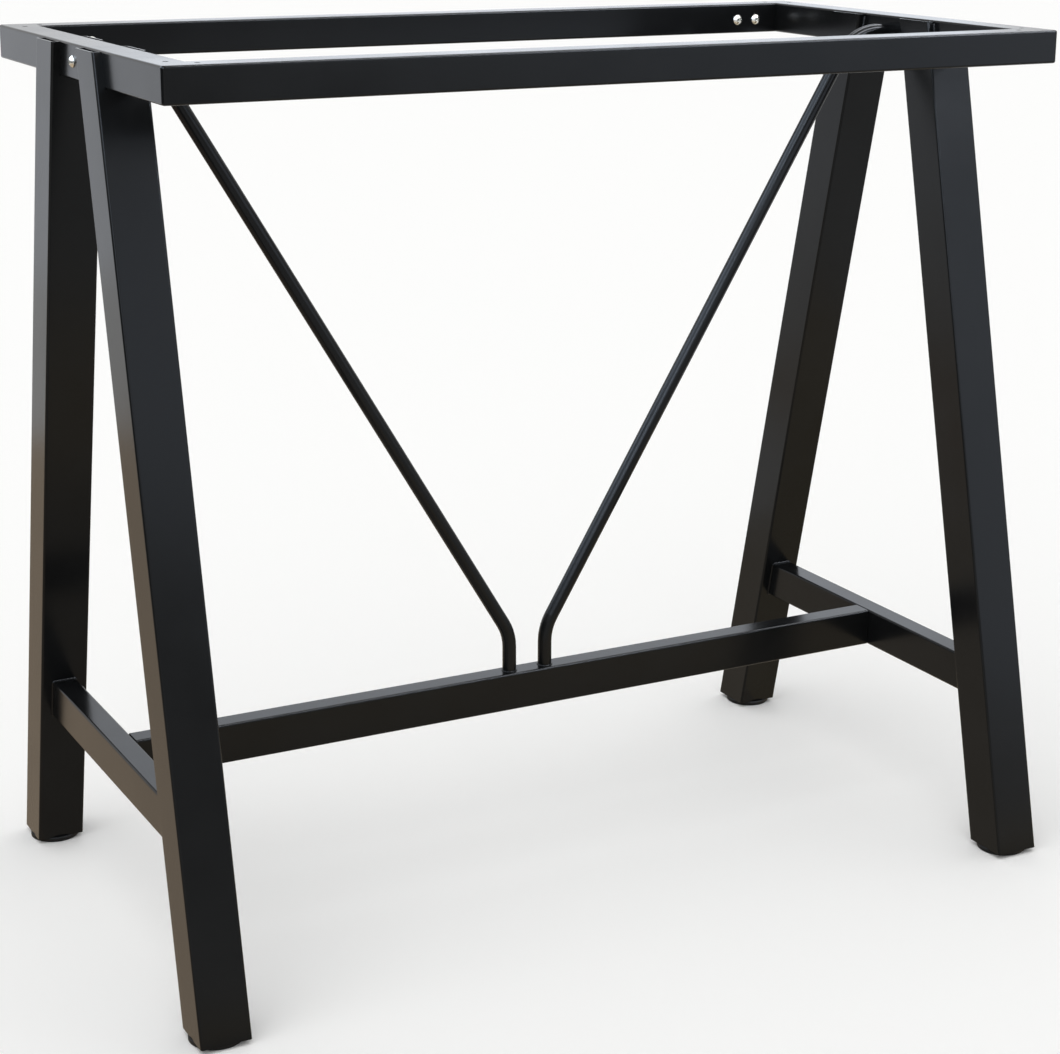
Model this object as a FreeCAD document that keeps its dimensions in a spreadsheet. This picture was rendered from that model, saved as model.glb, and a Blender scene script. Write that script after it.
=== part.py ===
import FreeCAD, Part
import os
from math import atan2, pi

import Sketcher

# A steel trestle base for a bar table: a mitred top frame of square tube, two A-frame trestles whose legs
# are notched over the end beams, a low stretcher and two bent brace rods. Millimetres, +Z up, length along
# X, origin on the floor under the middle of the frame.

DRIVING_SIZES = [
    ("frame_length", 1140, "outer length of the top frame"),
    ("frame_width", 600, "outer width of the top frame"),
    ("table_height", 1068, "floor to the top of the frame"),
    ("beam_size", 40, "side of the square frame tube"),
    ("beam_wall", 2, "wall of the frame tube"),
    ("bend_radius", 0.8, "inside radius along the edges of every rolled tube"),
    ("corner_round", 1.2, "upright corners of the frame, ground round: more than the tube's own edge radius"),
    ("leg_size", 60, "side of the square leg tube"),
    ("leg_wall", 2, "wall of the leg tube"),
    ("leg_foot_offset", 313.2, "middle plane of the table to the leg's centre line, at the floor"),
    ("leg_top_offset", 74, "the same, at the top of the frame"),
    ("leg_top_drop", 1.5, "top of the frame down to the leg's lips"),
    ("rail_height", 50, "height of the flat tube of crossbars and stretcher"),
    ("rail_width", 30, "width of that tube"),
    ("rail_wall", 2, "wall of that tube"),
    ("rail_top", 244, "floor to the top of crossbars and stretcher"),
    ("rail_end_gap", 0.5, "slip gap between the stretcher's end and the crossbar"),
    ("rod_diameter", 18, "brace rod"),
    ("rod_foot_offset", 26, "middle of the stretcher to the rod's foot"),
    ("rod_foot_straight", 32, "upright foot of the rod, up to its lower bend"),
    ("rod_end_straight", 13, "level end of the rod, from its upper bend"),
    ("rod_bend_radius", 65, "bends of the rod, on its centre line"),
    ("bolt_diameter", 8, "shank of every bolt and stud"),
    ("bolt_head_diameter", 14, "dome head"),
    ("bolt_head_height", 4.4, "dome head"),
    ("bolt_head_edge", 0.8, "upright rim of the dome head"),
    ("socket_across", 5, "hexagon socket, across flats"),
    ("socket_depth", 2.6, "hexagon socket"),
    ("bolt_tail", 2, "shank past the nut"),
    ("hole_clearance", 1, "added to a bolt's diameter for its hole"),
    ("thread_gap", 0.1, "between a thread and its nut, all round"),
    ("nut_across", 13, "hexagon nut, across flats"),
    ("nut_height", 6.5, "hexagon nut"),
    ("insert_gap", 0.5, "between an insert and the tube around it, all round"),
    ("insert_wall", 2.5, "wall of corner and stretcher inserts"),
    ("insert_tail", 20, "last bolt to the free end of an insert"),
    ("beam_bolt_inset", 73, "outer corner of the frame to the first bolt of the long beam"),
    ("beam_bolt_pitch", 30, "between the two bolts of a long beam's end"),
    ("beam_bolt_drop", 1.8, "centre line of the long beam down to its bolts"),
    ("rod_bolt_grip", 20, "thread of the rod bolt inside the rod"),
    ("rod_hole_spare", 4, "tapped hole past the end of the rod bolt"),
    ("rail_bolt_inset", 25, "crossbar to the first bolt of the stretcher"),
    ("rail_bolt_pitch", 30, "between the two bolts of a stretcher's end"),
    ("screw_hole_diameter", 6.5, "table top screws, straight through the beams"),
    ("screw_hole_inset", 45, "outer corner of the frame to a screw hole, along each beam"),
    ("foot_height", 6, "floor to the cut end of the leg"),
    ("foot_overhang", 1.5, "rim of the round plastic foot past the sides of the leg"),
    ("foot_chamfer", 1, "upper and lower rim of the plastic foot"),
    ("foot_shift", 3, "middle of the leg's end to the middle of the foot, towards the middle of the table"),
    ("foot_floor", 2, "plastic under the stud"),
    ("foot_plate_thickness", 4, "plate that closes the foot of the leg"),
    ("foot_plate_gap", 0.2, "between that plate and the leg's walls"),
    ("stud_tail", 12, "stud above the foot plate"),
]

doc = FreeCAD.newDocument("trestle_table_base")
sheet = doc.addObject("Spreadsheet::Sheet", "Sizes")
for row, (alias, value, note) in enumerate(DRIVING_SIZES, start=1):
    sheet.set(f"A{row}", note)
    sheet.set(f"B{row}", str(value))
    sheet.setAlias(f"B{row}", alias)
doc.recompute()

# Lines and slopes that several pieces share, as expressions on the sheet
HALF_LENGTH = "(Sizes.frame_length / 2)"
HALF_WIDTH = "(Sizes.frame_width / 2)"
HALF_BEAM = "(Sizes.beam_size / 2)"
EDGE_RADIUS = "(Sizes.beam_wall + Sizes.bend_radius)"
END_BEAM_X = f"({HALF_LENGTH} - {HALF_BEAM})"
END_BEAM_INNER_X = f"({HALF_LENGTH} - Sizes.beam_size)"
LONG_BEAM_Y = f"({HALF_WIDTH} - {HALF_BEAM})"
LONG_BEAM_INNER_Y = f"({HALF_WIDTH} - Sizes.beam_size)"
BEAM_Z = f"(Sizes.table_height - {HALF_BEAM})"
LEG_SLOPE = "((Sizes.leg_foot_offset - Sizes.leg_top_offset) / Sizes.table_height)"
LEG_STRETCH = f"sqrt(1 + {LEG_SLOPE}^2)"
LEG_BORE = "(Sizes.leg_size - 2 * Sizes.leg_wall)"
LEG_FOOT_Y = f"(Sizes.leg_foot_offset - {LEG_SLOPE} * Sizes.foot_height)"
RAIL_Z = "(Sizes.rail_top - Sizes.rail_height / 2)"
CROSSBAR_FACE_X = f"({END_BEAM_X} - Sizes.rail_width / 2)"
FIRST_BEAM_BOLT = f"({HALF_LENGTH} - Sizes.beam_bolt_inset)"
SECOND_BEAM_BOLT = f"({FIRST_BEAM_BOLT} - Sizes.beam_bolt_pitch)"
BOLT_HOLE = "(Sizes.bolt_diameter + Sizes.hole_clearance)"
THREAD_HOLE = "(Sizes.bolt_diameter + 2 * Sizes.thread_gap)"

UPWARD = FreeCAD.Vector(0, 0, 1)
nodes = []


def number(expression):
    """Value of an expression on the sheet, as the first guess for what it drives."""
    return float(sheet.evalExpression(expression))


def start_body(label):
    body = doc.addObject("PartDesign::Body", label)
    body.Label = label
    return body


def origin_plane(body, role):
    return next(item for item in body.Origin.OriginFeatures if item.Role == role)


def start_sketch(body, name, role, offset="0"):
    """Sketch on one of the body's own origin planes, or parallel to it at an offset."""
    sketch = body.newObject("Sketcher::SketchObject", name)
    sketch.AttachmentSupport = [(origin_plane(body, role), "")]
    sketch.MapMode = "FlatFace"
    sketch.setExpression("AttachmentOffset.Base.z", offset)
    return sketch


def join(sketch, kind, *reference):
    sketch.addConstraint(Sketcher.Constraint(kind, *reference))


def bind(sketch, kind, *reference, to):
    """Dimension of the sketch that follows an expression."""
    index = sketch.addConstraint(Sketcher.Constraint(kind, *reference, number(to)))
    sketch.setExpression(f"Constraints[{index}]", to)


def pin(sketch, geometry, vertex, across, up):
    """Holds a point at a place measured from the sketch's origin."""
    for kind, axis, distance in (("DistanceX", -2, across), ("DistanceY", -1, up)):
        if distance == "0":
            join(sketch, "PointOnObject", geometry, vertex, axis)
        else:
            bind(sketch, kind, geometry, vertex, to=distance)


def arc_between(start, end, radius):
    """Arc of less than half a turn, anticlockwise from start to end."""
    chord = end - start
    left = UPWARD.cross(chord).normalize()
    depth = (radius**2 - (chord.Length / 2) ** 2) ** 0.5
    centre = start + chord / 2 + left * depth
    angles = [atan2(point.y - centre.y, point.x - centre.x) for point in (start, end)]
    return Part.ArcOfCircle(Part.Circle(centre, UPWARD, radius), *angles)


def outline(sketch, corners, arcs=None):
    """Closed outline through corners given as pairs of expressions. Its sides are straight, apart from
    those in arcs, which gives the radius of the side that starts at that corner."""
    arcs = arcs or {}
    points = [FreeCAD.Vector(number(across), number(up), 0) for across, up in corners]
    for index, start in enumerate(points):
        end = points[(index + 1) % len(points)]
        if index in arcs:
            side = sketch.addGeometry(arc_between(start, end, number(arcs[index])))
            bind(sketch, "Radius", side, to=arcs[index])
        else:
            side = sketch.addGeometry(Part.LineSegment(start, end))
        pin(sketch, side, 1, *corners[index])
    first = side - len(points) + 1
    for side in range(first, first + len(points)):
        following = first + (side - first + 1) % len(points)
        join(sketch, "Coincident", side, 2, following, 1)


def circle(sketch, across, up, diameter):
    centre = FreeCAD.Vector(number(across), number(up), 0)
    index = sketch.addGeometry(Part.Circle(centre, UPWARD, number(diameter) / 2))
    pin(sketch, index, 3, across, up)
    bind(sketch, "Diameter", index, to=diameter)


def rounded_rectangle(sketch, width, height, radius):
    """Rectangle about the sketch's origin, with four equal round corners."""
    bend = number(radius)
    across = number(width) / 2 - bend
    up = number(height) / 2 - bend
    first = sketch.GeometryCount
    centres = [(across, up), (-across, up), (-across, -up), (across, -up)]
    for step, (x, y) in enumerate(centres):
        corner = Part.Circle(FreeCAD.Vector(x, y, 0), UPWARD, bend)
        sketch.addGeometry(Part.ArcOfCircle(corner, step * pi / 2, (step + 1) * pi / 2))
    corners = [first, first + 1, first + 2, first + 3]
    sides = [first + 4, first + 5, first + 6, first + 7]
    for step, side in enumerate(sides):
        corner = corners[step]
        following = corners[(step + 1) % 4]
        start = sketch.Geometry[corner].EndPoint
        end = sketch.Geometry[following].StartPoint
        sketch.addGeometry(Part.LineSegment(start, end))
        join(sketch, "Tangent", corner, 2, side, 1)
        join(sketch, "Tangent", side, 2, following, 1)
        join(sketch, "Vertical" if step % 2 else "Horizontal", side)
        if step:
            join(sketch, "Equal", corners[0], corner)
    top, left, bottom, right = sides
    bind(sketch, "Radius", corners[0], to=radius)
    bind(sketch, "DistanceX", left, 1, right, 1, to=width)
    bind(sketch, "DistanceY", bottom, 1, top, 1, to=height)
    join(sketch, "Symmetric", corners[0], 3, corners[2], 3, -1, 1)


def tube_section(sketch, width, height, wall, stretch="1"):
    """Section of a rolled tube. A tube cut on the slant is stretched in the sketch's upright direction."""
    rounded_rectangle(sketch, width, f"{height} * {stretch}", f"{wall} + Sizes.bend_radius")
    bore_width = f"{width} - 2 * {wall}"
    bore_height = f"({height} - 2 * {wall}) * {stretch}"
    rounded_rectangle(sketch, bore_width, bore_height, "Sizes.bend_radius")


def pad(body, sketch, length):
    """Extrudes a section by half the length to each side of its sketch."""
    feature = body.newObject("PartDesign::Pad", f"{sketch.Name}_pad")
    feature.Profile = sketch
    feature.SideType = "Symmetric"
    feature.setExpression("Length", length)


def leaning_pad(body, sketch, rise):
    """Extrudes a level section upwards along the lean of the legs."""
    feature = body.newObject("PartDesign::Pad", f"{sketch.Name}_pad")
    feature.Profile = sketch
    feature.UseCustomVector = True
    feature.Direction = UPWARD
    feature.setExpression("Direction.y", f"-{LEG_SLOPE}")
    feature.setExpression("Length", rise)


def revolve(body, sketch):
    feature = body.newObject("PartDesign::Revolution", f"{sketch.Name}_turned")
    feature.Profile = sketch
    feature.ReferenceAxis = (sketch, ["V_Axis"])


def cut_through(body, sketch, both_ways=True, reverse=False):
    """Cuts through everything: both ways, or only against the sketch's normal, or only along it."""
    feature = body.newObject("PartDesign::Pocket", f"{sketch.Name}_cut")
    feature.Profile = sketch
    feature.Type = "ThroughAll"
    feature.SideType = "Symmetric" if both_ways else "One side"
    feature.Reversed = reverse
    return feature


def cut_depth(body, sketch, depth):
    feature = body.newObject("PartDesign::Pocket", f"{sketch.Name}_cut")
    feature.Profile = sketch
    feature.setExpression("Length", depth)


def mirror(body, features, role):
    """Repeats cuts on the other side of one of the body's origin planes."""
    feature = body.newObject("PartDesign::Mirrored", "other_end")
    feature.Originals = features
    feature.MirrorPlane = (origin_plane(body, role), [""])
    body.Tip = feature


def place(piece, x, y, z, turn=0, axis=UPWARD):
    """Sets a piece in the assembly, its own upright along the axis, turned about that upright."""
    facing = FreeCAD.Rotation(UPWARD, axis)
    piece.Placement = FreeCAD.Placement(FreeCAD.Vector(), facing * FreeCAD.Rotation(UPWARD, turn))
    for name, expression in zip("xyz", (x, y, z)):
        piece.setExpression(f"Placement.Base.{name}", expression)


def group(label, piece, seats):
    """Like pieces as one node: the same piece at each seat, which gives its place and its axis."""
    links = []
    for x, y, z, axis in seats:
        link = doc.addObject("App::Link", f"{label}_seat")
        link.LinkedObject = piece
        place(link, x, y, z, axis=axis)
        links.append(link)
    node = doc.addObject("Part::Compound", label)
    node.Label = label
    node.Links = links
    nodes.append(node)


def mitre(body, half_span, along):
    """Cuts one end of a beam at 45 degrees, its longer side outwards. along orders a place across and along
    the beam as the sketch's two directions."""
    beam = "Sizes.beam_size"
    cut = start_sketch(body, "mitre", "XY_Plane")
    past_end = f"{half_span} + {HALF_BEAM}"
    outline(cut, [
        along(beam, past_end),
        along(f"-{beam}", past_end),
        along(f"-{beam}", f"{half_span} - 3 * {HALF_BEAM}"),
    ])
    return cut_through(body, cut)


def corner_round(body, half_span, role, end_sign, out_sign):
    """Rounds the upright outer corner at one end of a beam: all that lies outside the tube's outer edge, as
    that edge turns through 90 degrees about an upright axis inside the corner. The signs say on which side
    of the sketch's plane the end lies, and on which side of its upright axis the outer face."""
    turn = f"({EDGE_RADIUS} + Sizes.corner_round)"
    flat = f"({HALF_BEAM} - {EDGE_RADIUS})"
    far_out = f"({turn} + {HALF_BEAM})"
    edge = start_sketch(body, "corner_round", role, f"{end_sign}({half_span} - {turn})")
    edge.setExpression("AttachmentOffset.Base.x", f"{out_sign}({HALF_BEAM} - {turn})")
    corners = [
        ("Sizes.corner_round", f"-{HALF_BEAM}"),
        (turn, f"-{flat}"),
        (turn, flat),
        ("Sizes.corner_round", HALF_BEAM),
        ("Sizes.corner_round", "Sizes.beam_size"),
        (far_out, "Sizes.beam_size"),
        (far_out, "-Sizes.beam_size"),
        ("Sizes.corner_round", "-Sizes.beam_size"),
    ]
    signed = [(f"{out_sign}({across})", f"{out_sign}({up})") for across, up in corners]
    outline(edge, signed, {0: EDGE_RADIUS, 2: EDGE_RADIUS})
    feature = body.newObject("PartDesign::Groove", "corner_round_cut")
    feature.Profile = edge
    feature.ReferenceAxis = (edge, ["V_Axis"])
    feature.Angle = 90
    return feature


def screw_hole(body, across, up):
    """Hole for a table top screw, down through both walls."""
    sketch = start_sketch(body, "screw_hole", "XY_Plane")
    circle(sketch, across, up, "Sizes.screw_hole_diameter")
    return cut_through(body, sketch)


def across_first(across, along):
    return across, along


def along_first(across, along):
    return along, f"-({across})"


# End beams: square tube across the top of each trestle, mitred, drilled for the rod bolt and two table
# top screws. Drawn about their own middle with the outer face towards +X.
for side, turn, sign in (("left", 180, "-"), ("right", 0, "")):
    beam = start_body(f"end_beam_{side}")
    section = start_sketch(beam, "tube", "XZ_Plane")
    tube_section(section, "Sizes.beam_size", "Sizes.beam_size", "Sizes.beam_wall")
    pad(beam, section, "Sizes.frame_width")
    end_cuts = [
        mitre(beam, HALF_WIDTH, across_first),
        corner_round(beam, HALF_WIDTH, "XZ_Plane", end_sign="-", out_sign=""),
        screw_hole(beam, "0", f"{HALF_WIDTH} - Sizes.screw_hole_inset"),
    ]
    mirror(beam, end_cuts, "XZ_Plane")
    bolt_hole = start_sketch(beam, "rod_bolt_hole", "YZ_Plane")
    circle(bolt_hole, "0", "0", BOLT_HOLE)
    cut_through(beam, bolt_hole)
    place(beam, f"{sign}{END_BEAM_X}", "0", BEAM_Z, turn)
    nodes.append(beam)

# Long beams: the same tube along the table, mitred to meet the end beams, with two bolt holes near each
# end in the inner wall. Drawn about their own middle with the outer face towards -Y.
for side, turn, sign in (("front", 0, "-"), ("back", 180, "")):
    beam = start_body(f"long_beam_{side}")
    section = start_sketch(beam, "tube", "YZ_Plane")
    tube_section(section, "Sizes.beam_size", "Sizes.beam_size", "Sizes.beam_wall")
    pad(beam, section, "Sizes.frame_length")
    end_cuts = [
        mitre(beam, HALF_LENGTH, along_first),
        corner_round(beam, HALF_LENGTH, "YZ_Plane", end_sign="", out_sign="-"),
        screw_hole(beam, f"{HALF_LENGTH} - Sizes.screw_hole_inset", "0"),
    ]
    bolt_holes = start_sketch(beam, "bolt_holes", "XZ_Plane")
    circle(bolt_holes, FIRST_BEAM_BOLT, "-Sizes.beam_bolt_drop", BOLT_HOLE)
    circle(bolt_holes, SECOND_BEAM_BOLT, "-Sizes.beam_bolt_drop", BOLT_HOLE)
    end_cuts.append(cut_through(beam, bolt_holes, both_ways=False))
    mirror(beam, end_cuts, "YZ_Plane")
    place(beam, "0", f"{sign}{LONG_BEAM_Y}", BEAM_Z, turn)
    nodes.append(beam)

# Corner inserts: an L of smaller tube inside each mitred corner, drawn about the crossing of the two beam
# lines with one arm along +X, in the long beam, and the other in the end beam. The hand says on which side.
INSERT_SIZE = "(Sizes.beam_size - 2 * Sizes.beam_wall - 2 * Sizes.insert_gap)"
INSERT_ARM = f"(Sizes.beam_bolt_inset + Sizes.beam_bolt_pitch + Sizes.insert_tail - {HALF_BEAM})"
SCREW_FROM_LINE = f"(Sizes.screw_hole_inset - {HALF_BEAM})"
BOLT_FROM_LINE = f"(Sizes.beam_bolt_inset - {HALF_BEAM})"
for corner, hand, turn in (
    ("front_left", "", 0),
    ("back_left", "-", 0),
    ("front_right", "-", 180),
    ("back_right", "", 180),
):
    insert = start_body(f"corner_insert_{corner}")
    path = start_sketch(insert, "path", "XY_Plane")
    bend = FreeCAD.Vector()
    long_arm = FreeCAD.Vector(number(INSERT_ARM), 0, 0)
    end_arm = FreeCAD.Vector(0, number(f"{hand}{INSERT_ARM}"), 0)
    path.addGeometry(Part.LineSegment(long_arm, bend))
    path.addGeometry(Part.LineSegment(bend, end_arm))
    pin(path, 0, 1, INSERT_ARM, "0")
    join(path, "Coincident", 0, 2, -1, 1)
    join(path, "Coincident", 1, 1, -1, 1)
    pin(path, 1, 2, "0", f"{hand}{INSERT_ARM}")
    section = start_sketch(insert, "tube", "YZ_Plane", INSERT_ARM)
    tube_section(section, INSERT_SIZE, INSERT_SIZE, "Sizes.insert_wall")
    elbow = insert.newObject("PartDesign::AdditivePipe", "elbow")
    elbow.Profile = section
    elbow.Spine = (path, [""])
    elbow.Transition = "Right corner"
    screw_hole(insert, SCREW_FROM_LINE, "0")
    screw_hole(insert, "0", f"{hand}{SCREW_FROM_LINE}")
    bolt_holes = start_sketch(insert, "bolt_holes", "XZ_Plane")
    circle(bolt_holes, BOLT_FROM_LINE, "-Sizes.beam_bolt_drop", BOLT_HOLE)
    circle(bolt_holes, f"{BOLT_FROM_LINE} + Sizes.beam_bolt_pitch", "-Sizes.beam_bolt_drop", BOLT_HOLE)
    cut_through(insert, bolt_holes, both_ways=False, reverse=hand == "-")
    x_sign = "-" if corner.endswith("left") else ""
    y_sign = "-" if corner.startswith("front") else ""
    place(insert, f"{x_sign}{END_BEAM_X}", f"{y_sign}{LONG_BEAM_Y}", BEAM_Z, turn)
    nodes.append(insert)

# Legs: square tube leaning towards the middle of the table, cut level at both ends and notched over the
# end beam. Each has a steel plate inside its foot and a round plastic foot below. Leg and plate are drawn
# about the middle of the leg's cut end, leaning towards -Y, and the foot about its own middle.
NOTCH_FLOOR = "(Sizes.table_height - Sizes.beam_size - Sizes.foot_height)"
NOTCH_TOP = "(Sizes.table_height - Sizes.foot_height)"
PLATE_SIZE = f"({LEG_BORE} - 2 * Sizes.foot_plate_gap)"
FOOT_Y = f"({LEG_FOOT_Y} - Sizes.foot_shift)"
FOOT_RADIUS = "(Sizes.leg_size / 2 + Sizes.foot_overhang)"
FOOT_RIM_RADIUS = f"({FOOT_RADIUS} - Sizes.foot_chamfer)"
STUD_SEAT_RADIUS = f"({THREAD_HOLE} / 2)"
feet = []
for corner, turn in (("front_left", 180), ("front_right", 180), ("back_left", 0), ("back_right", 0)):
    x = f"-{END_BEAM_X}" if corner.endswith("left") else END_BEAM_X
    y_sign = "-" if corner.startswith("front") else ""
    leg_y = f"{y_sign}{LEG_FOOT_Y}"
    foot_y = f"{y_sign}{FOOT_Y}"
    feet.append((x, foot_y))

    leg = start_body(f"leg_{corner}")
    section = start_sketch(leg, "tube", "XY_Plane")
    tube_section(section, "Sizes.leg_size", "Sizes.leg_size", "Sizes.leg_wall", LEG_STRETCH)
    leaning_pad(leg, section, f"{NOTCH_TOP} - Sizes.leg_top_drop")
    notch = start_sketch(leg, "notch", "XZ_Plane")
    outline(notch, [
        (f"-{HALF_BEAM}", NOTCH_FLOOR),
        (HALF_BEAM, NOTCH_FLOOR),
        (HALF_BEAM, NOTCH_TOP),
        (f"-{HALF_BEAM}", NOTCH_TOP),
    ])
    cut_through(leg, notch)
    place(leg, x, leg_y, "Sizes.foot_height", turn)

    plate = start_body(f"foot_plate_{corner}")
    section = start_sketch(plate, "plate", "XY_Plane")
    rounded_rectangle(section, PLATE_SIZE, f"{PLATE_SIZE} * {LEG_STRETCH}", "Sizes.bend_radius")
    leaning_pad(plate, section, "Sizes.foot_plate_thickness")
    stud_hole = start_sketch(plate, "stud_hole", "XY_Plane")
    circle(stud_hole, "0", "-Sizes.foot_shift", THREAD_HOLE)
    cut_through(plate, stud_hole)
    place(plate, x, leg_y, "Sizes.foot_height", turn)

    foot = start_body(f"foot_pad_{corner}")
    profile = start_sketch(foot, "half_profile", "XZ_Plane")
    outline(profile, [
        ("0", "0"),
        (FOOT_RIM_RADIUS, "0"),
        (FOOT_RADIUS, "Sizes.foot_chamfer"),
        (FOOT_RADIUS, "Sizes.foot_height - Sizes.foot_chamfer"),
        (FOOT_RIM_RADIUS, "Sizes.foot_height"),
        (STUD_SEAT_RADIUS, "Sizes.foot_height"),
        (STUD_SEAT_RADIUS, "Sizes.foot_floor"),
        ("0", "Sizes.foot_floor"),
    ])
    revolve(foot, profile)
    place(foot, x, foot_y, "0")
    nodes.extend([leg, plate, foot])

# Studs of the feet: threaded rod from the plastic foot up through the plate
stud = doc.addObject("Part::Cylinder", "foot_stud")
stud.setExpression("Radius", "Sizes.bolt_diameter / 2")
stud.setExpression(
    "Height",
    "Sizes.foot_height - Sizes.foot_floor + Sizes.foot_plate_thickness + Sizes.stud_tail",
)
group("foot_studs", stud, [(x, y, "Sizes.foot_floor", UPWARD) for x, y in feet])

# Crossbars: flat tube between the two legs of a trestle, its ends cut to the lean of the legs
LEG_HALF_DEPTH = f"(Sizes.leg_size * {LEG_STRETCH} / 2)"
CROSSBAR_HALF = f"(Sizes.leg_foot_offset - {LEG_SLOPE} * {RAIL_Z} - {LEG_HALF_DEPTH})"
SLANT = f"({LEG_SLOPE} * Sizes.rail_height)"
for side, sign in (("left", "-"), ("right", "")):
    bar = start_body(f"crossbar_{side}")
    section = start_sketch(bar, "tube", "XZ_Plane")
    tube_section(section, "Sizes.rail_width", "Sizes.rail_height", "Sizes.rail_wall")
    pad(bar, section, f"2 * {CROSSBAR_HALF} + {SLANT}")
    slant = start_sketch(bar, "slanted_end", "YZ_Plane")
    outline(slant, [
        (f"{CROSSBAR_HALF} + {SLANT}", "-Sizes.rail_height"),
        (f"{CROSSBAR_HALF} + {SLANT}", "Sizes.rail_height"),
        (f"{CROSSBAR_HALF} - {SLANT}", "Sizes.rail_height"),
    ])
    mirror(bar, [cut_through(bar, slant)], "XZ_Plane")
    place(bar, f"{sign}{END_BEAM_X}", "0", RAIL_Z)
    nodes.append(bar)

# Stretcher: flat tube between the crossbars, bolted from below to a stub inside each of its ends
RAIL_INSERT_WIDTH = "(Sizes.rail_width - 2 * Sizes.rail_wall - 2 * Sizes.insert_gap)"
RAIL_INSERT_HEIGHT = "(Sizes.rail_height - 2 * Sizes.rail_wall - 2 * Sizes.insert_gap)"
RAIL_INSERT_LENGTH = "(Sizes.rail_bolt_inset + Sizes.rail_bolt_pitch + Sizes.insert_tail)"
FIRST_RAIL_BOLT = f"({CROSSBAR_FACE_X} - Sizes.rail_bolt_inset)"
SECOND_RAIL_BOLT = f"({FIRST_RAIL_BOLT} - Sizes.rail_bolt_pitch)"
stretcher = start_body("stretcher")
section = start_sketch(stretcher, "tube", "YZ_Plane")
tube_section(section, "Sizes.rail_width", "Sizes.rail_height", "Sizes.rail_wall")
pad(stretcher, section, f"2 * ({CROSSBAR_FACE_X} - Sizes.rail_end_gap)")
bolt_holes = start_sketch(stretcher, "bolt_holes", "XY_Plane")
circle(bolt_holes, FIRST_RAIL_BOLT, "0", BOLT_HOLE)
circle(bolt_holes, SECOND_RAIL_BOLT, "0", BOLT_HOLE)
mirror(stretcher, [cut_through(stretcher, bolt_holes, both_ways=False)], "YZ_Plane")
place(stretcher, "0", "0", RAIL_Z)
nodes.append(stretcher)

for side, turn, sign in (("left", 180, "-"), ("right", 0, "")):
    insert = start_body(f"stretcher_insert_{side}")
    section = start_sketch(insert, "tube", "YZ_Plane")
    tube_section(section, RAIL_INSERT_WIDTH, RAIL_INSERT_HEIGHT, "Sizes.insert_wall")
    pad(insert, section, RAIL_INSERT_LENGTH)
    bolt_holes = start_sketch(insert, "bolt_holes", "XY_Plane")
    first_hole = f"{RAIL_INSERT_LENGTH} / 2 - Sizes.rail_bolt_inset"
    circle(bolt_holes, first_hole, "0", BOLT_HOLE)
    circle(bolt_holes, f"{first_hole} - Sizes.rail_bolt_pitch", "0", BOLT_HOLE)
    cut_through(insert, bolt_holes, both_ways=False)
    middle = f"({CROSSBAR_FACE_X} - {RAIL_INSERT_LENGTH} / 2)"
    place(insert, f"{sign}{middle}", "0", RAIL_Z, turn)
    nodes.append(insert)

# Brace rods: round bar welded upright on the stretcher, bent outwards, then bent level so that its end
# meets the end beam square, where it is tapped for the rod bolt. Drawn in place, on the +X side.
for side, turn in (("left", 180), ("right", 0)):
    rod = start_body(f"brace_rod_{side}")
    path = start_sketch(rod, "centre_line", "XZ_Plane")
    radius = number("Sizes.rod_bend_radius")
    foot_point = FreeCAD.Vector(number("Sizes.rod_foot_offset"), number("Sizes.rail_top"), 0)
    end_point = FreeCAD.Vector(number(END_BEAM_INNER_X), number(BEAM_Z), 0)
    foot_top = foot_point + FreeCAD.Vector(0, number("Sizes.rod_foot_straight"), 0)
    end_start = end_point - FreeCAD.Vector(number("Sizes.rod_end_straight"), 0, 0)
    lower_centre = foot_top + FreeCAD.Vector(radius, 0, 0)
    upper_centre = end_start - FreeCAD.Vector(0, radius, 0)
    outwards = UPWARD.cross(upper_centre - lower_centre).normalize() * radius
    slope_start = lower_centre + outwards
    slope_end = upper_centre + outwards
    foot_line = path.addGeometry(Part.LineSegment(foot_point, foot_top))
    lower_bend = path.addGeometry(arc_between(slope_start, foot_top, radius))
    slope_line = path.addGeometry(Part.LineSegment(slope_start, slope_end))
    upper_bend = path.addGeometry(arc_between(end_start, slope_end, radius))
    end_line = path.addGeometry(Part.LineSegment(end_start, end_point))
    pin(path, foot_line, 1, "Sizes.rod_foot_offset", "Sizes.rail_top")
    pin(path, end_line, 2, END_BEAM_INNER_X, BEAM_Z)
    join(path, "Vertical", foot_line)
    join(path, "Horizontal", end_line)
    join(path, "Tangent", foot_line, 2, lower_bend, 2)
    join(path, "Tangent", lower_bend, 1, slope_line, 1)
    join(path, "Tangent", slope_line, 2, upper_bend, 2)
    join(path, "Tangent", upper_bend, 1, end_line, 1)
    bind(path, "Radius", lower_bend, to="Sizes.rod_bend_radius")
    bind(path, "Radius", upper_bend, to="Sizes.rod_bend_radius")
    bind(path, "Distance", foot_line, to="Sizes.rod_foot_straight")
    bind(path, "Distance", end_line, to="Sizes.rod_end_straight")
    section = start_sketch(rod, "bar", "XY_Plane", "Sizes.rail_top")
    circle(section, "Sizes.rod_foot_offset", "0", "Sizes.rod_diameter")
    bar = rod.newObject("PartDesign::AdditivePipe", "bent_bar")
    bar.Profile = section
    bar.Spine = (path, [""])
    tapped_hole = start_sketch(rod, "tapped_hole", "YZ_Plane", END_BEAM_INNER_X)
    circle(tapped_hole, "0", BEAM_Z, THREAD_HOLE)
    cut_depth(rod, tapped_hole, "Sizes.rod_bolt_grip + Sizes.rod_hole_spare")
    place(rod, "0", "0", "0", turn)
    nodes.append(rod)


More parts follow.
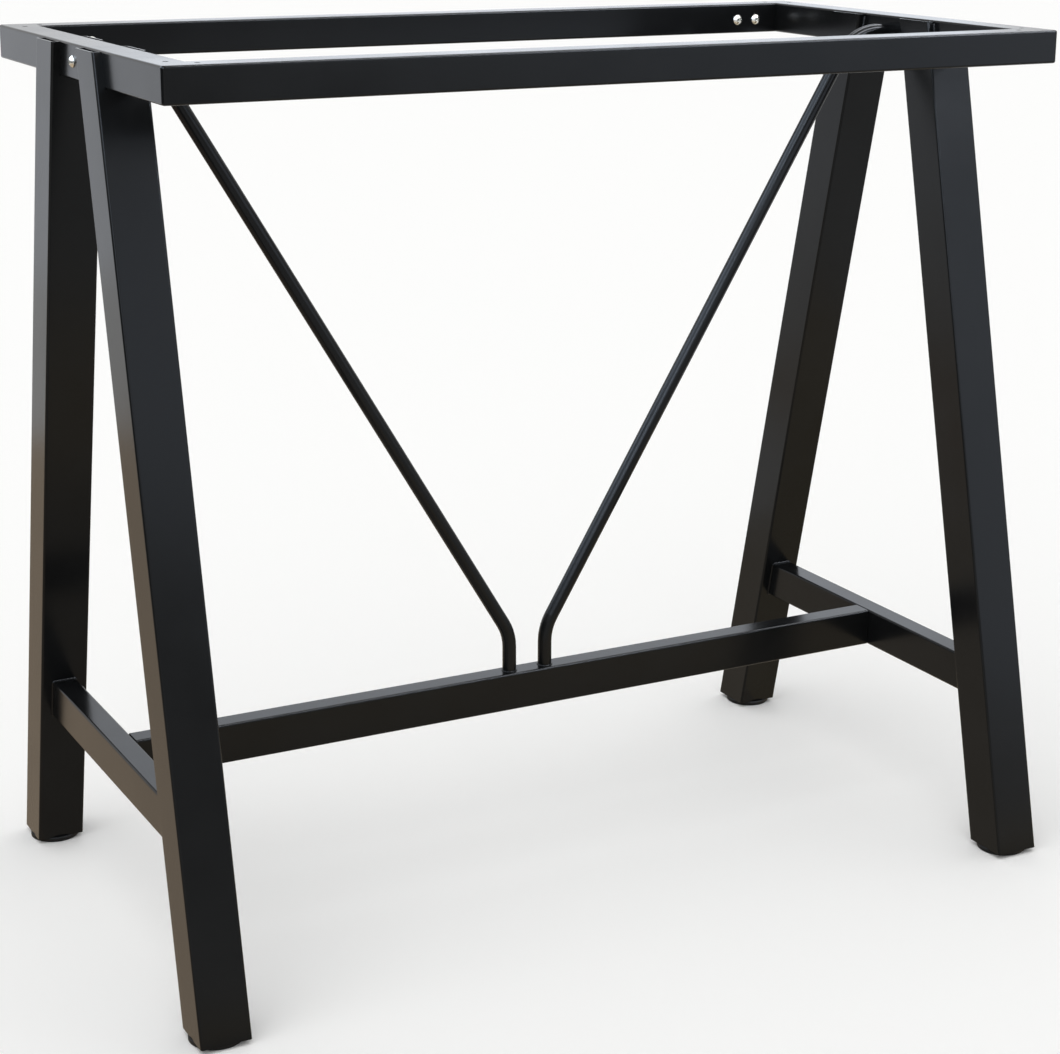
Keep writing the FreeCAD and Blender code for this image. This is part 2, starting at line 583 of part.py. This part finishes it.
def dome_bolt(label, length):
    """Dome-head bolt with a hexagon socket, its head upwards from the origin and its shank below."""
    bolt = start_body(label)
    profile = start_sketch(bolt, "half_profile", "XZ_Plane")
    head = "(Sizes.bolt_head_diameter / 2)"
    shank = "(Sizes.bolt_diameter / 2)"
    crown = "(Sizes.bolt_head_height - Sizes.bolt_head_edge)"
    dome_radius = f"({head}^2 + {crown}^2) / (2 * {crown})"
    corners = [
        ("0", f"-({length})"),
        (shank, f"-({length})"),
        (shank, "0"),
        (head, "0"),
        (head, "Sizes.bolt_head_edge"),
        ("0", "Sizes.bolt_head_height"),
    ]
    outline(profile, corners, {4: dome_radius})
    revolve(bolt, profile)
    socket = start_sketch(bolt, "socket", "XY_Plane", "Sizes.bolt_head_height")
    flat = "(Sizes.socket_across / 2)"
    half_side = "(Sizes.socket_across / 2 / sqrt(3))"
    outline(socket, [
        (flat, f"-{half_side}"),
        (flat, half_side),
        ("0", f"2 * {half_side}"),
        (f"-{flat}", half_side),
        (f"-{flat}", f"-{half_side}"),
        ("0", f"-2 * {half_side}"),
    ])
    cut_depth(bolt, socket, "Sizes.socket_depth")
    return bolt


# Nut that is welded inside the inserts, standing on the origin
nut_blank = doc.addObject("Part::Prism", "nut_blank")
nut_blank.Polygon = 6
nut_blank.setExpression("Circumradius", "Sizes.nut_across / sqrt(3)")
nut_blank.setExpression("Height", "Sizes.nut_height")
nut_thread = doc.addObject("Part::Cylinder", "nut_thread")
nut_thread.setExpression("Radius", f"{THREAD_HOLE} / 2")
nut_thread.setExpression("Height", "Sizes.nut_height")
nut = doc.addObject("Part::Cut", "nut")
nut.Base = nut_blank
nut.Tool = nut_thread

# Rod bolts: from outside through the middle of each end beam into the end of the brace rod
rod_bolt = dome_bolt("rod_bolt", "Sizes.beam_size + Sizes.rod_bolt_grip")
group("rod_bolts", rod_bolt, [
    (f"-{HALF_LENGTH}", "0", BEAM_Z, FreeCAD.Vector(-1, 0, 0)),
    (HALF_LENGTH, "0", BEAM_Z, FreeCAD.Vector(1, 0, 0)),
])

# Beam bolts and nuts: two at each end of the long beams, heads on the inner faces
INSERT_DEPTH = "(Sizes.insert_gap + Sizes.insert_wall)"
BOLT_PAST_INSERT = f"{INSERT_DEPTH} + Sizes.nut_height + Sizes.bolt_tail"
beam_bolt = dome_bolt("beam_bolt", f"Sizes.beam_wall + {BOLT_PAST_INSERT}")
NUT_Y = f"({LONG_BEAM_INNER_Y} + Sizes.beam_wall + {INSERT_DEPTH})"
BEAM_BOLT_Z = f"({BEAM_Z} - Sizes.beam_bolt_drop)"
head_seats = []
nut_seats = []
for y_sign, inward in (("-", FreeCAD.Vector(0, 1, 0)), ("", FreeCAD.Vector(0, -1, 0))):
    for place_x in (FIRST_BEAM_BOLT, SECOND_BEAM_BOLT):
        for x_sign in ("-", ""):
            head_seats.append((f"{x_sign}{place_x}", f"{y_sign}{LONG_BEAM_INNER_Y}", BEAM_BOLT_Z, inward))
            nut_seats.append((f"{x_sign}{place_x}", f"{y_sign}{NUT_Y}", BEAM_BOLT_Z, -inward))
group("beam_bolts", beam_bolt, head_seats)
group("beam_nuts", nut, nut_seats)

# Stretcher bolts and nuts: two at each end, heads on the underside
rail_bolt = dome_bolt("rail_bolt", f"Sizes.rail_wall + {BOLT_PAST_INSERT}")
RAIL_BOTTOM = "(Sizes.rail_top - Sizes.rail_height)"
RAIL_NUT_Z = f"({RAIL_BOTTOM} + Sizes.rail_wall + {INSERT_DEPTH})"
rail_seats = [f"{sign}{place_x}" for sign in ("-", "") for place_x in (FIRST_RAIL_BOLT, SECOND_RAIL_BOLT)]
group("stretcher_bolts", rail_bolt, [(x, "0", RAIL_BOTTOM, -UPWARD) for x in rail_seats])
group("stretcher_nuts", nut, [(x, "0", RAIL_NUT_Z, UPWARD) for x in rail_seats])

doc.recompute()
for item in doc.Objects:
    if "Invalid" in item.State or "Error" in item.State:
        raise RuntimeError(f"{item.Label} was not built: {item.State}")
    is_cut = item.TypeId in ("PartDesign::Pocket", "PartDesign::Groove")
    if is_cut and item.Shape.Volume >= item.BaseFeature.Shape.Volume:
        raise RuntimeError(f"{item.Label} takes nothing away")
for node in nodes:
    if node.Shape.isNull() or not node.Shape.isValid():
        raise RuntimeError(f"{node.Label} is not a valid solid")

os.makedirs("parts", exist_ok=True)
for node in nodes:
    node.Shape.exportStep(f"parts/{node.Label}.step")
    print(f"{node.Label}: {len(node.Shape.Solids)} solid, {node.Shape.Volume / 1000:.1f} cm3")
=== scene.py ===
import math

import bpy
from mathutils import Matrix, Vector


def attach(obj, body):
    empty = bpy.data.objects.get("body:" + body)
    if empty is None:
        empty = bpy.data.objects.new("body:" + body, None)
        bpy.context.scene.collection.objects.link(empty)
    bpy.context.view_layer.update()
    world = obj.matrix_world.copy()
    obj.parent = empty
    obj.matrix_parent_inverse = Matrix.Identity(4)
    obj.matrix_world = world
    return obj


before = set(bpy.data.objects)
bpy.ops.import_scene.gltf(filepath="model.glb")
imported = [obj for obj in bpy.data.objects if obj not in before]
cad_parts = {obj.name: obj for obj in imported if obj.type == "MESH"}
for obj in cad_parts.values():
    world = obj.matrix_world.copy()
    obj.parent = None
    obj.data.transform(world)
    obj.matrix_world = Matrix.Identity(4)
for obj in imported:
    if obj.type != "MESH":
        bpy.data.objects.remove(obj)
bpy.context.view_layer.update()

# End beams: a 40 mm square steel tube across the top of each trestle, mitred at both ends.
# Cold-rolled tube with small round corners, powder coated after the legs are welded on.
# A clearance hole in the middle takes the bolt of the brace rod.


def linear_colour(code):
    """An sRGB hex code as a linear colour with full alpha."""
    channels = [int(code[at:at + 2], 16) / 255 for at in (1, 3, 5)]
    return [c / 12.92 if c <= 0.04045 else ((c + 0.055) / 1.055) ** 2.4 for c in channels] + [1.0]


def add_node(tree, kind, inputs=None, **settings):
    """Adds a node of that kind with its settings, and gives each named input a value or a link."""
    made = tree.nodes.new(kind)
    for name, value in settings.items():
        setattr(made, name, value)
    for socket, value in (inputs or {}).items():
        if isinstance(value, bpy.types.NodeSocket):
            tree.links.new(value, made.inputs[socket])
        else:
            made.inputs[socket].default_value = value
    return made


def start_finish(name):
    """A new material of that name, and its node tree, still empty."""
    made = bpy.data.materials.new(name)
    made.use_nodes = True
    made.node_tree.nodes.clear()
    return made, made.node_tree


# Satin polyester powder coat, sprayed dry and baked on blasted steel. It is a deep black that turns
# grey and then pale as the eye comes level with the face, over a shallow orange peel.
coat_deep = linear_colour("#0b0c0d")
coat_worn = linear_colour("#141516")
coat_cloud_size = 0.085
cloud_low, cloud_high = 0.3, 0.7
coat_smooth, coat_rough = 0.18, 0.23
coat_peel_size = 0.0045  # real peel is about 2 mm across, drawn coarser so that it shows
coat_peel_depth = 0.000018
coat_grain_size = 0.0012  # real powder grain is about 0.1 mm, drawn coarser so that it shows
coat_grain_depth = 0.000002
coat_ior = 1.25
coat_sheen = (0.8, 0.8, 0.8, 1.0)
coat, tree = start_finish("satin_black_powder_coat")
place = add_node(tree, "ShaderNodeTexCoord").outputs["Object"]
cloud = add_node(tree, "ShaderNodeTexNoise", {"Vector": place, "Scale": 1 / coat_cloud_size, "Detail": 3.0})
peel = add_node(tree, "ShaderNodeTexNoise", {"Vector": place, "Scale": 1 / coat_peel_size, "Detail": 1.0})
grain = add_node(tree, "ShaderNodeTexNoise", {"Vector": place, "Scale": 1 / coat_grain_size, "Detail": 2.0})
tone = add_node(tree, "ShaderNodeMix", {
    "Factor": cloud.outputs["Fac"], "A": coat_deep, "B": coat_worn}, data_type="RGBA")
gloss = add_node(tree, "ShaderNodeMapRange", {
    "Value": cloud.outputs["Fac"], "From Min": cloud_low, "From Max": cloud_high,
    "To Min": coat_smooth, "To Max": coat_rough})
waves = add_node(tree, "ShaderNodeBump", {
    "Height": peel.outputs["Fac"], "Strength": 1.0, "Distance": coat_peel_depth})
grit = add_node(tree, "ShaderNodeBump", {
    "Height": grain.outputs["Fac"], "Strength": 1.0, "Distance": coat_grain_depth,
    "Normal": waves.outputs["Normal"]})
shader = add_node(tree, "ShaderNodeBsdfPrincipled", {
    "Base Color": tone.outputs["Result"], "Roughness": gloss.outputs["Result"], "IOR": coat_ior,
    "Specular Tint": coat_sheen, "Normal": grit.outputs["Normal"]})
add_node(tree, "ShaderNodeOutputMaterial", {"Surface": shader.outputs["BSDF"]})


def finish_nodes(material, *names):
    """Gives the carried-over solids of these names one material."""
    for name in names:
        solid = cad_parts[name].data
        solid.materials.clear()
        solid.materials.append(material)


finish_nodes(coat, "end_beam_left", "end_beam_right")

# Legs: four 60 mm square tubes, splayed, cut level at the foot and notched at the top over the end beam.
# The lips of the notch stand open inside and outside the beam.
# A short upright weld on each side of the inner lip holds the leg to the beam.
finish_nodes(coat, "leg_front_left", "leg_front_right", "leg_back_left", "leg_back_right")

leg_x = 0.550
leg_floor_y = 0.3132
leg_slope = 0.22397  # inwards per metre of height
leg_half_depth = 0.03074  # half of the leg's side, measured level along its slope
beam_inner_x = 0.530
lip_weld_low, lip_weld_high = 1.0295, 1.0640
lip_weld_radius = 0.0026
lip_ripple_depth = 0.3  # share of the bead's radius
ripple_pitch = 0.0022
ripple_wander = 0.0006
points_per_ripple = 6.0
wanders_per_metre = 160.0
bead_sides = 14


def bead_tree():
    """A weld bead along each edge path: a round strand that swells and narrows with every ripple."""
    made = bpy.data.node_groups.new("weld_bead", "GeometryNodeTree")
    sockets = made.interface
    sockets.new_socket("Geometry", in_out="INPUT", socket_type="NodeSocketGeometry")
    for name in ("Radius", "Ripple Pitch", "Ripple Depth", "Wander", "Seed"):
        sockets.new_socket(name, in_out="INPUT", socket_type="NodeSocketFloat")
    sockets.new_socket("Material", in_out="INPUT", socket_type="NodeSocketMaterial")
    sockets.new_socket("Geometry", in_out="OUTPUT", socket_type="NodeSocketGeometry")
    given = add_node(made, "NodeGroupInput").outputs
    step = add_node(made, "ShaderNodeMath", {0: given["Ripple Pitch"], 1: points_per_ripple},
                    operation="DIVIDE")
    path = add_node(made, "GeometryNodeMeshToCurve", {"Mesh": given["Geometry"]})
    fine = add_node(made, "GeometryNodeResampleCurve", {
        "Curve": path.outputs["Curve"], "Length": step.outputs[0]}, mode="LENGTH")
    drift = add_node(made, "ShaderNodeTexNoise", {
        "W": given["Seed"], "Scale": wanders_per_metre, "Detail": 1.0}, noise_dimensions="4D")
    centred = add_node(made, "ShaderNodeVectorMath", {0: drift.outputs["Color"], 1: (0.5, 0.5, 0.5)},
                       operation="SUBTRACT")
    moved = add_node(made, "ShaderNodeVectorMath", {0: centred.outputs["Vector"], "Scale": given["Wander"]},
                     operation="SCALE")
    wavy = add_node(made, "GeometryNodeSetPosition", {
        "Geometry": fine.outputs["Curve"], "Offset": moved.outputs["Vector"]})
    along = add_node(made, "GeometryNodeSplineParameter").outputs["Length"]
    count = add_node(made, "ShaderNodeMath", {0: along, 1: given["Ripple Pitch"]}, operation="DIVIDE")
    phase = add_node(made, "ShaderNodeMath", {0: count.outputs[0]}, operation="FRACT")
    valley = add_node(made, "ShaderNodeMath", {0: phase.outputs[0], 1: 2.0}, operation="POWER")
    dip = add_node(made, "ShaderNodeMath", {0: valley.outputs[0], 1: given["Ripple Depth"]},
                   operation="MULTIPLY")
    swell = add_node(made, "ShaderNodeMath", {0: 1.0, 1: dip.outputs[0]}, operation="SUBTRACT")
    ring = add_node(made, "GeometryNodeCurvePrimitiveCircle", {
        "Resolution": bead_sides, "Radius": given["Radius"]})
    strand = add_node(made, "GeometryNodeCurveToMesh", {
        "Curve": wavy.outputs["Geometry"], "Profile Curve": ring.outputs["Curve"],
        "Scale": swell.outputs[0], "Fill Caps": True})
    smooth = add_node(made, "GeometryNodeSetShadeSmooth", {"Geometry": strand.outputs["Mesh"]})
    whole = add_node(made, "GeometryNodeRealizeInstances", {"Geometry": smooth.outputs["Geometry"]})
    dressed = add_node(made, "GeometryNodeSetMaterial", {
        "Geometry": whole.outputs["Geometry"], "Material": given["Material"]})
    add_node(made, "NodeGroupOutput", {"Geometry": dressed.outputs["Geometry"]})
    return made


bead = bead_tree()


def lay_weld(name, paths, closed, radius, ripple, seed):
    """Runs a weld bead along each path of points, as one plain mesh that rides on the frame."""
    points, edges = [], []
    for path in paths:
        first = len(points)
        points.extend(path)
        edges.extend((first + i, first + i + 1) for i in range(len(path) - 1))
        if closed:
            edges.append((first + len(path) - 1, first))
    lines = bpy.data.meshes.new(name + "_path")
    lines.from_pydata(points, edges, [])
    weld = bpy.data.objects.new(name, lines)
    bpy.context.scene.collection.objects.link(weld)
    layer = weld.modifiers.new("bead", "NODES")
    layer.node_group = bead
    sizes = {"Radius": radius, "Ripple Pitch": ripple_pitch, "Ripple Depth": ripple,
             "Wander": ripple_wander, "Seed": seed, "Material": coat}
    for socket in bead.interface.items_tree:
        if socket.in_out == "INPUT" and socket.name in sizes:
            layer[socket.identifier] = sizes[socket.name]
    seen = weld.evaluated_get(bpy.context.evaluated_depsgraph_get())
    solid = bpy.data.meshes.new_from_object(seen)
    solid.name = name
    weld.modifiers.clear()
    weld.data = solid
    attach(weld, "root")


lip_paths = []
for end in (-1, 1):
    for side in (-1, 1):
        for edge in (-1, 1):
            line = []
            for z in (lip_weld_low, lip_weld_high):
                leg_y = side * (leg_floor_y - leg_slope * z)
                line.append((end * beam_inner_x, leg_y + edge * leg_half_depth, z))
            lip_paths.append(line)
lay_weld("weld_leg_tops", lip_paths, closed=False, radius=lip_weld_radius, ripple=lip_ripple_depth, seed=1.0)

# Crossbars: a 50 x 30 mm flat tube on edge between the two legs of each trestle.
# Its ends are cut to the slope of the legs and welded all round.
finish_nodes(coat, "crossbar_left", "crossbar_right")

bar_half_width = 0.015
bar_low, bar_high = 0.194, 0.244
bar_corner = 0.0028
bar_weld_radius = 0.0021
bar_ripple_depth = 0.08
corner_steps = 3
bar_paths = []
for end in (-1, 1):
    for side in (-1, 1):
        ring = []
        for turn, (across, up) in enumerate(((1, 1), (-1, 1), (-1, -1), (1, -1))):
            middle_x = across * (bar_half_width - bar_corner)
            middle_z = (bar_high - bar_corner) if up > 0 else (bar_low + bar_corner)
            for step in range(corner_steps + 1):
                angle = math.radians(90 * (turn + step / corner_steps))
                x = middle_x + bar_corner * math.cos(angle)
                z = middle_z + bar_corner * math.sin(angle)
                ring.append((end * leg_x + x, side * (leg_floor_y - leg_slope * z - leg_half_depth), z))
        bar_paths.append(ring)
lay_weld("weld_crossbars", bar_paths, closed=True, radius=bar_weld_radius, ripple=bar_ripple_depth, seed=2.0)

# Long beams: a 40 mm square tube along each side, mitred to meet the end beams at the corners.
# Wood screws go up through small holes near their ends into the table top.
finish_nodes(coat, "long_beam_front", "long_beam_back")

# Inserts and nuts: an L of smaller bare steel tube inside each mitred corner, which holds it together.
# A straight stub of bare tube goes into each end of the stretcher. Beams and stretcher hide them.
steel_light = linear_colour("#9a9a98")
steel_dark = linear_colour("#6c6c6b")
steel_mill_line = 0.0006
steel_draw = (0.02, 1.0, 1.0)  # the mill's lines run along X, fifty times as long as wide
steel_smooth, steel_rough = 0.32, 0.5
steel, tree = start_finish("mill_finish_steel")
place = add_node(tree, "ShaderNodeTexCoord").outputs["Object"]
drawn = add_node(tree, "ShaderNodeMapping", {"Vector": place, "Scale": steel_draw})
lines = add_node(tree, "ShaderNodeTexNoise", {
    "Vector": drawn.outputs["Vector"], "Scale": 1 / steel_mill_line, "Detail": 2.0})
tone = add_node(tree, "ShaderNodeMix", {
    "Factor": lines.outputs["Fac"], "A": steel_dark, "B": steel_light}, data_type="RGBA")
gloss = add_node(tree, "ShaderNodeMapRange", {
    "Value": lines.outputs["Fac"], "To Min": steel_smooth, "To Max": steel_rough})
shader = add_node(tree, "ShaderNodeBsdfPrincipled", {
    "Base Color": tone.outputs["Result"], "Metallic": 1.0, "Roughness": gloss.outputs["Result"]})
add_node(tree, "ShaderNodeOutputMaterial", {"Surface": shader.outputs["BSDF"]})
finish_nodes(steel, "corner_insert_front_left", "corner_insert_back_left", "corner_insert_front_right",
             "corner_insert_back_right", "beam_nuts", "stretcher_insert_left", "stretcher_insert_right",
             "stretcher_nuts")

# Bolts: M8 dome heads with a hexagon socket, two through the inner face of each long beam end.
# One more goes through each end beam into the brace rod, and four hold the stretcher from below.
# Bright zinc plate over turned steel: pale and mirror-like, with a faint mottle.
zinc_pale = linear_colour("#d9d8d2")
zinc_grey = linear_colour("#bdbcb6")
zinc_mottle = 0.0012
zinc_smooth, zinc_rough = 0.16, 0.28
zinc, tree = start_finish("bright_zinc_plate")
place = add_node(tree, "ShaderNodeTexCoord").outputs["Object"]
mottle = add_node(tree, "ShaderNodeTexNoise", {"Vector": place, "Scale": 1 / zinc_mottle, "Detail": 2.0})
tone = add_node(tree, "ShaderNodeMix", {
    "Factor": mottle.outputs["Fac"], "A": zinc_grey, "B": zinc_pale}, data_type="RGBA")
gloss = add_node(tree, "ShaderNodeMapRange", {
    "Value": mottle.outputs["Fac"], "To Min": zinc_smooth, "To Max": zinc_rough})
shader = add_node(tree, "ShaderNodeBsdfPrincipled", {
    "Base Color": tone.outputs["Result"], "Metallic": 1.0, "Roughness": gloss.outputs["Result"]})
add_node(tree, "ShaderNodeOutputMaterial", {"Surface": shader.outputs["BSDF"]})
finish_nodes(zinc, "beam_bolts", "rod_bolts", "stretcher_bolts", "foot_studs")

# Stretcher: a 50 x 30 mm flat tube on edge that slides over a stub on each crossbar.
# Two bolts from below hold each of its ends.
finish_nodes(coat, "stretcher")

# Brace rods: two 18 mm round bars, bent twice, from the stretcher up to the middle of each end beam.
# The foot is welded upright on the stretcher with a small ring of weld.
finish_nodes(coat, "brace_rod_left", "brace_rod_right")

rod_radius = 0.009
rod_foot_x = 0.026
rod_weld_radius = 0.0014
rod_ripple_depth = 0.1
rod_ring_points = 32
rod_paths = []
for side in (-1, 1):
    ring = []
    for step in range(rod_ring_points):
        angle = math.tau * step / rod_ring_points
        x = side * rod_foot_x + rod_radius * math.cos(angle)
        ring.append((x, rod_radius * math.sin(angle), bar_high))
    rod_paths.append(ring)
lay_weld("weld_rod_feet", rod_paths, closed=True, radius=rod_weld_radius, ripple=rod_ripple_depth, seed=3.0)

# Feet: round pads of moulded black plastic under a steel plate that closes each leg.
# A zinc-plated stud screws the pad to the plate, so that it can be set level.
finish_nodes(coat, "foot_plate_front_left", "foot_plate_front_right", "foot_plate_back_left",
             "foot_plate_back_right")

# Polypropylene with a fine moulded grain that takes most of its shine, and faint scuffs.
pad_black = linear_colour("#0a0a0a")
pad_grey = linear_colour("#131312")
pad_scuffs_per_metre = 140.0
pad_grain = 0.0009
pad_grain_depth = 0.00004
pad_roughness = 0.55
pad_ior = 1.49
pad_shine = 0.15
pad, tree = start_finish("moulded_black_polypropylene")
place = add_node(tree, "ShaderNodeTexCoord").outputs["Object"]
skin = add_node(tree, "ShaderNodeTexNoise", {"Vector": place, "Scale": 1 / pad_grain, "Detail": 2.0})
scuff = add_node(tree, "ShaderNodeTexNoise", {"Vector": place, "Scale": pad_scuffs_per_metre, "Detail": 3.0})
tone = add_node(tree, "ShaderNodeMix", {
    "Factor": scuff.outputs["Fac"], "A": pad_black, "B": pad_grey}, data_type="RGBA")
dimple = add_node(tree, "ShaderNodeBump", {"Height": skin.outputs["Fac"], "Distance": pad_grain_depth})
shader = add_node(tree, "ShaderNodeBsdfPrincipled", {
    "Base Color": tone.outputs["Result"], "Roughness": pad_roughness, "IOR": pad_ior,
    "Specular IOR Level": pad_shine, "Normal": dimple.outputs["Normal"]})
add_node(tree, "ShaderNodeOutputMaterial", {"Surface": shader.outputs["BSDF"]})
finish_nodes(pad, "foot_pad_front_left", "foot_pad_front_right", "foot_pad_back_left", "foot_pad_back_right")

# Studio: a plain pale paper floor without an edge in view, under a white sky and two soft lamps.
# The floor lies just under the feet and keeps the table's shadow.
floor_colour = linear_colour("#fefefd")
floor_reach = 40.0
floor_drop = 0.0002


def lay_sheet(name, corners, material):
    """A flat sheet of the studio between these corners."""
    face = bpy.data.meshes.new(name)
    face.from_pydata(corners, [], [tuple(range(len(corners)))])
    face.materials.append(material)
    made = bpy.data.objects.new(name, face)
    bpy.context.scene.collection.objects.link(made)
    return made


def level_sheet(z, left, right, front, rear):
    """Corners of a sheet that lies level at that height."""
    return [(left, front, z), (right, front, z), (right, rear, z), (left, rear, z)]


def side_sheet(x, front, rear, low, high):
    """Corners of an upright sheet beside the table."""
    return [(x, front, low), (x, rear, low), (x, rear, high), (x, front, high)]


def end_sheet(y, *outline):
    """Corners of an upright sheet in front of the table or behind it, from points across and up."""
    return [(x, y, z) for x, z in outline]


paper, tree = start_finish("pale_studio_paper")
matt = add_node(tree, "ShaderNodeBsdfDiffuse", {"Color": floor_colour})
add_node(tree, "ShaderNodeOutputMaterial", {"Surface": matt.outputs["BSDF"]})
floor_corners = level_sheet(-floor_drop, -floor_reach, floor_reach, -floor_reach, floor_reach)
lay_sheet("studio_floor", floor_corners, paper)

# Boards around the table that only its sheen shows, because a satin coat mirrors the room about it.
# Cool windows and lamps stand in front, on the left, behind and overhead, and two flags hold them back;
# the flags and the front shade are painted shade in the sheen. The warm sheets under the table and beside it
# are a painted reflection of a tan floor, while the floor itself stays pale.
front_y, flag_front_y, back_y = -3.5, -3.45, 4.0
left_x, strip_x, flag_left_x = -2.0, -1.98, -3.0
softbox_z, lamp_z, warm_z = 3.2, 3.1, 0.002
for name, colour, level, corners in (
    ("front_window", "#e6f0ff", 2.75, end_sheet(
        front_y, (-0.4, 1.3), (3.4, 0.05), (5.2, 2.2), (3.3, 2.8), (-0.15, 1.8))),
    ("left_window", "#dcebff", 6.5, side_sheet(left_x, -6.5, 2.6, 1.45, 4.2)),
    ("left_strip", "#dcebff", 20.0, side_sheet(strip_x, -2.6, -2.0, 1.8, 4.2)),
    ("rear_strip", "#dcebff", 14.0, side_sheet(strip_x, 0.6, 1.2, 1.8, 3.2)),
    ("back_window", "#f0f6ff", 1.9, end_sheet(
        back_y, (1.0, 1.33), (3.8, 1.33), (5.4, 4.6), (-0.9, 2.9))),
    ("back_wall", "#f4f8ff", 1.36, end_sheet(
        back_y, (-4.2, 0.05), (-1.2, 0.05), (-1.2, 1.4), (-4.2, 1.4))),
    ("overhead_softbox", "#ffffff", 1.7, level_sheet(softbox_z, -1.2, 3.5, -2.6, 1.6)),
    ("overhead_strip", "#f0f6ff", 26.0, level_sheet(lamp_z, 0.3, 2.9, 0.75, 1.05)),
    ("overhead_lamp", "#eef4ff", 32.0, level_sheet(lamp_z, 0.2, 3.0, -1.5, -0.9)),
    # The front shade and the two flags are painted shade: dimmer and dark boards seen only in the sheen.
    ("front_shade", "#e6f0ff", 2.1, end_sheet(
        flag_front_y, (1.45, 0.72), (2.9, 0.3), (2.9, 1.05), (1.45, 1.05))),
    ("front_flag", "#d6d6d6", 1.0, end_sheet(
        flag_front_y, (-0.7, 0.05), (1.2, 0.05), (1.2, 0.75), (-0.7, 1.15))),
    ("front_lamp", "#e6f0ff", 70.0, [
        (1.4, -3.4, 2.1), (3.7, -3.2, 2.9), (3.7, -3.2, 3.2), (1.4, -3.4, 2.4)]),
    ("left_flag", "#1c1c1c", 1.0, side_sheet(flag_left_x, -3.2, 2.5, 0.3, 1.05)),
    # The warm board and the three sheets after it are a painted reflection of a tan floor, seen only in the
    # sheen.
    ("warm_board", "#dfcab1", 1.0, level_sheet(warm_z, -3.0, -0.57, -0.6, 2.4)),
    ("warm_floor_reflection", "#d3c6b3", 1.0, level_sheet(warm_z, -0.57, 0.55, -0.45, 1.15)),
    ("front_floor_reflection", "#ffeccb", 1.08, level_sheet(warm_z, -0.57, 1.3, -0.9, -0.45)),
    ("right_floor_reflection", "#ffecc6", 0.85, level_sheet(warm_z, 0.55, 1.3, -0.45, 0.3)),
):
    glow, tree = start_finish(name)
    light = add_node(tree, "ShaderNodeEmission", {"Color": linear_colour(colour), "Strength": level})
    add_node(tree, "ShaderNodeOutputMaterial", {"Surface": light.outputs["Emission"]})
    board = lay_sheet(name, corners, glow)
    board.visible_camera = False
    board.visible_diffuse = False
    board.visible_shadow = False

# Sky: pure white where the camera or a mirror looks at it, and a softer light on the table and the floor.
# Two wide lamps, unseen in the sheen, give the shadow its side.
sky_white = (1.0, 1.0, 1.0, 1.0)
sky_shown = 1.0
sky_light = 0.6
world = bpy.data.worlds.new("studio")
bpy.context.scene.world = world
world.use_nodes = True
tree = world.node_tree
tree.nodes.clear()
ray = add_node(tree, "ShaderNodeLightPath").outputs
mirrored = add_node(tree, "ShaderNodeMath", {0: ray["Is Camera Ray"], 1: ray["Is Glossy Ray"]},
                    operation="MAXIMUM")
shown = add_node(tree, "ShaderNodeMath", {0: mirrored.outputs[0], 1: ray["Is Transmission Ray"]},
                 operation="MAXIMUM")
white = add_node(tree, "ShaderNodeBackground", {"Color": sky_white, "Strength": sky_shown})
soft = add_node(tree, "ShaderNodeBackground", {"Color": sky_white, "Strength": sky_light})
both = add_node(tree, "ShaderNodeMixShader", {
    0: shown.outputs[0], 1: soft.outputs["Background"], 2: white.outputs["Background"]})
add_node(tree, "ShaderNodeOutputWorld", {"Surface": both.outputs["Shader"]})

for name, level, spread, aim in (
    ("key_light", 1.0, 70.0, (0.45, 0.35, -0.82)),
    ("fill_light", 0.5, 90.0, (-0.3, -0.5, -0.81)),
):
    lamp = bpy.data.lights.new(name, "SUN")
    lamp.energy = level
    lamp.angle = math.radians(spread)
    holder = bpy.data.objects.new(name, lamp)
    holder.rotation_mode = "QUATERNION"
    holder.rotation_quaternion = Vector(aim).to_track_quat("-Z", "Y")
    holder.visible_glossy = False
    bpy.context.scene.collection.objects.link(holder)

# Camera: a short telephoto view from the front left, a little above the frame.
# The picture is shifted on the lens, so that the whole table fills it.
camera_place = (-1.32351, -2.51974, 1.28184)
camera_tilt, camera_roll, camera_turn = 75.11824, -0.33232, -28.09547
view = bpy.data.cameras.new("camera")
view.sensor_width = 36.0
view.lens = 78.401
view.shift_x = -0.01523
view.shift_y = -0.06444
view.clip_end = 100.0
camera = bpy.data.objects.new("camera", view)
camera.location = camera_place
camera.rotation_euler = [math.radians(angle) for angle in (camera_tilt, camera_roll, camera_turn)]
bpy.context.scene.collection.objects.link(camera)
bpy.context.scene.camera = camera
bpy.context.scene.view_settings.view_transform = "Standard"
